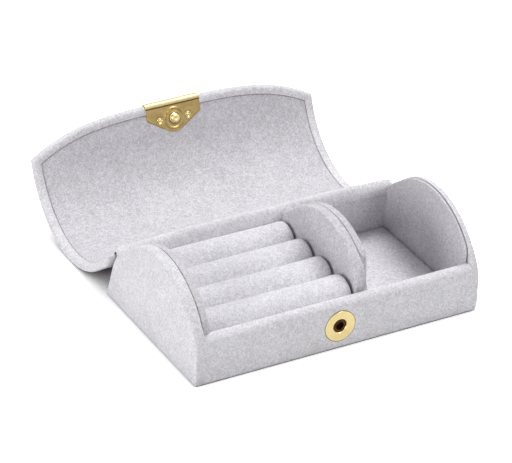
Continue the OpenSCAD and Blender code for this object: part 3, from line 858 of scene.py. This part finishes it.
# The lining fills the step, a hair off the border all round, and its face is lightly padded.
seam = border + 0.12 * mm
seam_half = lid_half - seam
panel_x = np.concatenate([[-seam_half], lid_x[np.abs(lid_x) < seam_half - 0.02 * mm], [seam_half]])
panel_e = np.concatenate([[seam], edge_steps[edge_steps > seam + 0.04 * mm]])
px, pe = np.meshgrid(panel_x, panel_e, indexing="ij")
ps = edge_s(px) - pe * np.sqrt(1 + edge_slope(px) ** 2)
panel_end = lid_start + 5 * mm
panel_depth, panel_round = 1.25 * mm, 0.5 * mm
rim_drop, pillow_height, pillow_width = 0.4 * mm, 0.5 * mm, 2.5 * mm
ps = np.concatenate([ps, ps[:, -1:] + (panel_end - ps[:, -1:]) * far_s], axis=1)
px = np.broadcast_to(panel_x[:, None], ps.shape)
pd = np.minimum(from_edges(px, edge_s(px) - ps) - seam, ps - panel_end)
pillow = rim_drop - pillow_height * (1 - np.exp(-np.maximum(pd, 0) / pillow_width))
panel_inner = lid_place(px, ps, rounded(pd, panel_round) + pillow)
panel_outer = lid_place(px, ps, np.full(ps.shape, panel_depth))
lid_lining = two_faces("lid_lining_panel", panel_inner, panel_outer)
lid_lining.data.materials.append(lining_suede)
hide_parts("lid_lining", "flap_lining")

past_flex, at_flex = lid_place(0.0, flex_s + 1 * mm, 0.0), lid_place(0.0, flex_s, 0.0)
for piece in (lid_cover, lid_lining):
    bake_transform(piece)


# ---- The cloth hinge ----
# Doubled suede runs from the top of the back wall to the lid. It stands up in a soft fold
# while the lid lies open, lower towards its ends and a little uneven.

fold_section = np.array([
    (36.2, 25.0), (34.6, 25.3), (33.8, 26.6), (34.2, 28.6), (35.0, 30.6), (36.0, 32.5),
    (37.4, 33.9), (38.9, 33.9), (40.4, 32.6), (42.2, 30.3), (44.4, 27.0), (47.0, 23.2),
    (46.2, 22.2), (43.8, 25.2), (41.4, 27.8), (39.4, 28.6), (37.6, 27.2),
]) * mm
fold_section = softened(resampled(fold_section, 480), 0.9 * mm)[::5]
hinge_fold = along_x(
    "hinge_fold", fold_section, -79.4 * mm, 79.8 * mm, 120, taper=0.55, rounding=5 * mm
)
points = np.empty(3 * len(hinge_fold.data.vertices))
hinge_fold.data.vertices.foreach_get("co", points)
points = points.reshape(-1, 3)
fold_x, fold_z = points[:, 0], points[:, 2]
standing_z = 29.5 * mm
end_fall = 0.34 * ramp(np.abs(fold_x), 40 * mm, 78 * mm)
uneven = 0.05 * np.sin(fold_x / (7 * mm)) * np.cos(fold_x / (17 * mm))
points[:, 2] -= np.maximum(fold_z - standing_z, 0) * (end_fall + uneven)
hinge_fold.data.vertices.foreach_set("co", points.ravel())
hinge_fold.data.materials.append(outer_suede)
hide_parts("hinge_strip")
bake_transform(hinge_fold)


# ---- The clasp plate ----
# Stamped brass sheet folded round the lid's free edge, with a rolled bead round the stud. Two
# rivets hold it; the stud's head is closed over a neck.

# The plate's brass is a darker copy of the bright brass: painted shade for the dim surroundings
# its flat face reflects. Patches of wear vary its tone.
plate_brass_painted_shade = Finish("polished_brass_painted_shade")
wear_place = plate_brass_painted_shade.node("ShaderNodeTexCoord", out=3)
wear = plate_brass_painted_shade.noise(260.0, 5.0, wear_place, roughness=0.6, distortion=0.6)
scratch = plate_brass_painted_shade.noise(2600.0, 2.0, wear_place)
plate_colour_painted_shade = plate_brass_painted_shade.mix_colours(
    (wear * 2.0 - 0.5).clamped(), (0.34, 0.235, 0.08, 1.0), (0.52, 0.395, 0.18, 1.0)
)
plate_brass_bump = plate_brass_painted_shade.node("ShaderNodeBump", None, {
    "Strength": 0.12, "Distance": 0.05 * mm, "Height": wear + scratch * 0.3,
})
plate_brass_painted_shade.shade({
    "Base Color": plate_colour_painted_shade, "Roughness": wear * 0.1 + 0.17, "Normal": plate_brass_bump,
    "Metallic": 1.0,
})


def plain_brass(name, scale, distortion, low, high, roughness, metallic):
    """Brass that differs from place to place between two colours, and in roughness, which is
    given as its least value and its spread."""
    finish = Finish(name)
    place = finish.node("ShaderNodeTexCoord", out=3)
    patch = finish.noise(scale, 3.0, place, roughness=0.6, distortion=distortion)
    colour = finish.mix_colours(patch, (*low, 1.0), (*high, 1.0))
    least, spread = roughness
    finish.shade({
        "Base Color": colour, "Roughness": patch * spread + least, "Metallic": metallic,
    })
    return finish.material


polished_brass_painted_shade = plate_brass_painted_shade.material
bright_brass = plain_brass(
    "bright_brass", 700.0, 0.5, (0.78, 0.61, 0.26), (0.93, 0.79, 0.43), (0.14, 0.12), 1.0
)
# A dark brown brass that paints shade in the clasp's creases and grooves, round the face ring's
# edge and in the ring's mouth.
dark_brass_painted_shade = plain_brass(
    "dark_brass_painted_shade", 900.0, 0.0, (0.05, 0.02, 0.007), (0.14, 0.065, 0.022), (0.4, 0.2), 0.7
)

# The plate has straight sides, then runs to a round tip about the stud.
plate_top = edge_low - 0.5 * mm
plate_side_z = plate_top + 9 * mm
tip_radius = 7.6 * mm
corner_round = 0.7 * mm
straight_up = np.array([0, 1.0])
right_corner = np.array([plate_half, plate_side_z])
left_corner = right_corner * np.array([-1, 1])
plate_middle = np.array([0.0, stud_z])
from_stud = right_corner - plate_middle
touch_angle = math.atan2(from_stud[1], from_stud[0])
touch_angle += math.acos(tip_radius / np.linalg.norm(from_stud))
tip_turn = np.linspace(touch_angle, math.pi - touch_angle, 60)
tip_arc = np.stack([tip_radius * np.cos(tip_turn), stud_z + tip_radius * np.sin(tip_turn)], axis=1)
plate_outline = np.vstack([
    [(-plate_half, plate_top + 0.6 * mm)], [(plate_half, plate_top + 0.6 * mm)],
    fillet(right_corner - straight_up, right_corner, tip_arc[0], corner_round), tip_arc,
    fillet(tip_arc[-1], left_corner, left_corner - straight_up, corner_round),
])
plate_outline = softened(resampled(plate_outline, 720), 0.12 * mm)[::2]


def flap_place(x, z, out):
    """Point of the open lid's front: z is its height with the lid shut, out is how far it
    stands out of the lining."""
    return lid_place(x, flex_s + flex_height - z, -out)


# Rings about the stud run out to the outline. The bead is rolled at bead_r, a low boss stands
# under the stud, and the sheet is pressed in round each rivet.
core = np.linspace(0, 6.6 * mm, 34)
spread = np.linspace(0, 1, 12)[1:]
away = plate_outline - plate_middle
bearing = away / np.linalg.norm(away, axis=1)[:, None]
inner_rings = plate_middle + bearing[:, None] * core[None, :, None]
core_edge = inner_rings[:, -1:]
outer_rings = core_edge + (plate_outline[:, None] - core_edge) * spread[None, :, None]
plate_rings = np.concatenate([inner_rings, outer_rings], axis=1)
plate_x, plate_z = plate_rings[..., 0], plate_rings[..., 1]
sheet, sheet_back, edge_rolled = 0.27 * mm, -0.25 * mm, 0.12 * mm
bead_r, boss_r, dimple_r = 5.4 * mm, 2.2 * mm, 1.5 * mm
rivet_x, rivet_z = 8.3 * mm, 12.8 * mm
plate_r = np.hypot(plate_x, plate_z - stud_z)
plate_out = sheet + 0.32 * mm * np.exp(-((plate_r - bead_r) / (0.42 * mm)) ** 2)
plate_out = plate_out + 0.22 * mm * np.exp(-((plate_r - boss_r) / (1.1 * mm)) ** 2)
for sign in (-1, 1):
    rivet_r = np.hypot(plate_x - sign * rivet_x, plate_z - rivet_z)
    plate_out = plate_out - 0.16 * mm * np.exp(-((rivet_r - dimple_r) / (0.3 * mm)) ** 2)
plate_out[:, -1] -= edge_rolled
plate_front = flap_place(plate_x, plate_z, plate_out)
plate_back = flap_place(plate_x, plate_z, np.full(plate_r.shape, sheet_back))
plate_faces = np.concatenate([plate_front, plate_back[:, ::-1]], axis=1)
plate = surface("clasp_plate_face", plate_faces, crease=50)


def along_edge(name, section, middle, half, crease=180):
    """Closed section of height and depth carried along the lid's free edge, half to each
    side, with a flat cap at each end that closes on the section's middle."""
    x = np.concatenate([[-half], np.linspace(-half, half, 40), [half]])
    size = np.ones(len(x))
    size[[0, -1]] = 0
    flat = middle + (section[:, None] - middle) * size[None, :, None]
    grid_x = np.broadcast_to(x, flat.shape[:2])
    return surface(name, flap_place(grid_x, flat[..., 0], flat[..., 1]), crease=crease)


# The fold: a raised lip on the face, a round edge and a leg down the lid's outside.
fold_turn = np.linspace(0, np.pi, 24)
lip_z, lip_half, lip_foot, lip_height = 4.35 * mm, 1.28 * mm, 0.08 * mm, 0.36 * mm
lip = np.stack([
    lip_z - lip_half * np.cos(fold_turn), lip_foot + lip_height * np.sin(fold_turn),
], axis=1)
edge_turn = np.linspace(0, np.pi, 20)[1:]
round_edge = np.stack([
    edge_low - 0.25 * mm - 0.55 * mm * np.sin(edge_turn),
    -1.75 * mm + 1.95 * mm * np.cos(edge_turn),
], axis=1)
back_leg = np.array([
    (5.0, -3.72), (8.0, -3.75), (8.4, -3.6), (8.2, -3.45), (5.0, -3.42), (3.9, -3.3),
    (3.5, -1.8), (3.9, -0.2), (5.0, -0.1),
]) * mm
fold_loop = np.vstack([lip[::-1], round_edge, back_leg])
fold_loop = softened(resampled(fold_loop, 360), 0.12 * mm)[::3]
fold_middle = np.array([edge_low - 0.2 * mm, -1.8 * mm])
plate_fold = along_edge("clasp_plate_fold", fold_loop, fold_middle, plate_half, crease=50)


def turned(name, profile, place):
    """Turned piece: a closed half section of radius and height, run round an axis by place."""
    turn = np.linspace(0, 2 * np.pi, 96, endpoint=False)[:, None]
    across, up_axis = profile[:, 0] * np.cos(turn), profile[:, 0] * np.sin(turn)
    height = np.broadcast_to(profile[:, 1], across.shape)
    return surface(name, place(across, up_axis, height), crease=50)


def on_plate(axis_x, axis_z, rise):
    """How a turned piece stands on the plate: its axis's place, and how far out it starts."""
    return lambda x, z, h: flap_place(x + axis_x, z + axis_z, h + rise)


stud_profile = np.array([
    (0.0, 0.0), (2.6, 0.0), (2.7, 0.45), (2.35, 0.6), (1.75, 0.75), (1.65, 1.3), (1.9, 1.45),
    (2.35, 1.5), (2.42, 1.7), (2.42, 2.1), (2.3, 2.4), (1.95, 2.62), (1.3, 2.72), (0.75, 2.62),
    (0.45, 2.52), (0.0, 2.5),
]) * mm
# A dark brown ring round the stud's foot is painted shade.
stud_foot_profile = np.array([
    (1.5, 0.1), (3.05, 0.1), (3.1, 0.3), (2.75, 0.42), (1.5, 0.42), (1.5, 0.1),
]) * mm
rivet_profile = np.array([
    (0.0, -0.2), (1.4, -0.2), (1.46, 0.02), (1.38, 0.16), (1.2, 0.21), (1.04, 0.14),
    (0.94, -0.1), (0.68, -0.12), (0.62, 0.06), (0.42, 0.2), (0.0, 0.24),
]) * mm
# A dark ring in each rivet's groove is painted shade.
groove_profile = np.array([
    (0.66, -0.2), (1.0, -0.2), (1.0, 0.0), (0.66, 0.0), (0.66, -0.2),
]) * mm
# A thin dark tube in the crease under the fold is painted shade.
crease_middle = np.array([5.75, 0.2]) * mm
crease_turn = np.linspace(0, 2 * np.pi, 12, endpoint=False)
crease_round = np.stack([0.38 * mm * np.cos(crease_turn), 0.22 * mm * np.sin(crease_turn)], axis=1)
crease_loop = crease_middle + crease_round

stud = turned("press_stud", stud_profile, on_plate(0.0, stud_z, 0.1 * mm))
plate_crease_shade = along_edge("clasp_plate_crease_shade", crease_loop, crease_middle, 0.995 * plate_half)
stud_foot_painted_shade = turned("stud_foot_painted_shade", stud_foot_profile, on_plate(0.0, stud_z, 0.12 * mm))
for piece, finish, names in (
    (plate, polished_brass_painted_shade, ("clasp_plate",)), (plate_fold, bright_brass, ()),
    (stud, bright_brass, ("snap_stud",)),
    (plate_crease_shade, dark_brass_painted_shade, ()), (stud_foot_painted_shade, dark_brass_painted_shade, ()),
):
    piece.data.materials.append(finish)
    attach(piece, "flap")
    if names:
        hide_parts(*names)
for side, sign in (("left", -1), ("right", 1)):
    on_rivet = on_plate(sign * rivet_x, rivet_z, 0.2 * mm)
    rivet = turned(side + "_rivet", rivet_profile, on_rivet)
    rivet.data.materials.append(bright_brass)
    rivet_groove_shade = turned(side + "_rivet_groove_painted_shade", groove_profile, on_rivet)
    rivet_groove_shade.data.materials.append(dark_brass_painted_shade)
    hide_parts("clasp_rivets")
    for piece in (rivet, rivet_groove_shade):
        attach(piece, "flap")


# ---- The socket of the press stud ----
# A turned brass face ring is clenched through the front wall onto a washer. A split ring of
# wire in its mouth grips the stud.


def on_wall(x, z, h):
    """How a turned piece stands on the front wall: on the socket's axis, h out of its face."""
    return np.stack([x, front_y - h, stud_z + z], axis=-1)


ring_profile = np.array([
    (3.5, -3.0), (3.5, -0.7), (3.62, -0.25), (3.9, 0.06), (4.15, 0.2), (4.45, 0.24), (4.7, 0.14),
    (4.95, 0.13), (5.3, 0.13), (5.4, 0.08), (5.5, 0.13), (6.95, 0.13), (7.05, 0.08), (7.15, 0.13),
    (7.55, 0.13), (7.8, 0.2), (8.05, 0.25), (8.3, 0.2), (8.46, 0.05), (8.5, -0.15), (8.5, -0.6),
    (7.5, -0.8), (4.3, -0.8), (4.2, -3.0), (3.5, -3.0),
]) * mm
# A thin dark band round the face ring's outer edge is painted shade.
edge_profile = np.array([
    (8.3, -0.2), (8.62, -0.2), (8.66, -0.02), (8.55, 0.1), (8.38, 0.1), (8.3, -0.2),
]) * mm
ring = turned("press_stud_ring", ring_profile, on_wall)
ring.data.materials.append(bright_brass)
ring_edge_painted_shade = turned("press_stud_ring_edge_painted_shade", edge_profile, on_wall)
ring_edge_painted_shade.data.materials.append(dark_brass_painted_shade)
for piece in (ring, ring_edge_painted_shade):
    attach(piece, "base")
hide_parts("snap_ring")


def finished(names, finish):
    """Gives parts that come ready made their finish."""
    for name in names:
        materials = frame["nodes"][name].data.materials
        materials.clear()
        materials.append(finish)


# The socket and its spring, deep in the ring's mouth, take the dark brass: painted shade in the
# hollow.
finished(("snap_socket", "snap_spring"), dark_brass_painted_shade)
finished(("snap_washer", "stud_cap"), polished_brass_painted_shade)


# ---- The boards ----
# Raw greyboard, die cut. The covers are glued to it and hide it, so it keeps its plain
# fibrous grey.

greyboard = Finish("greyboard")
board_place = greyboard.node("ShaderNodeTexCoord", out=3)
fibres = greyboard.noise(600.0, 5.0, board_place, roughness=0.7)
board_colour = greyboard.mix_colours(fibres, (0.30, 0.28, 0.25, 1.0), (0.42, 0.40, 0.36, 1.0))
greyboard.shade({"Base Color": board_colour, "Roughness": 0.9})
finished(("base_board", "left_end_board", "right_end_board"), greyboard.material)
finished(("front_wall_board", "lid_board", "flap_board"), greyboard.material)
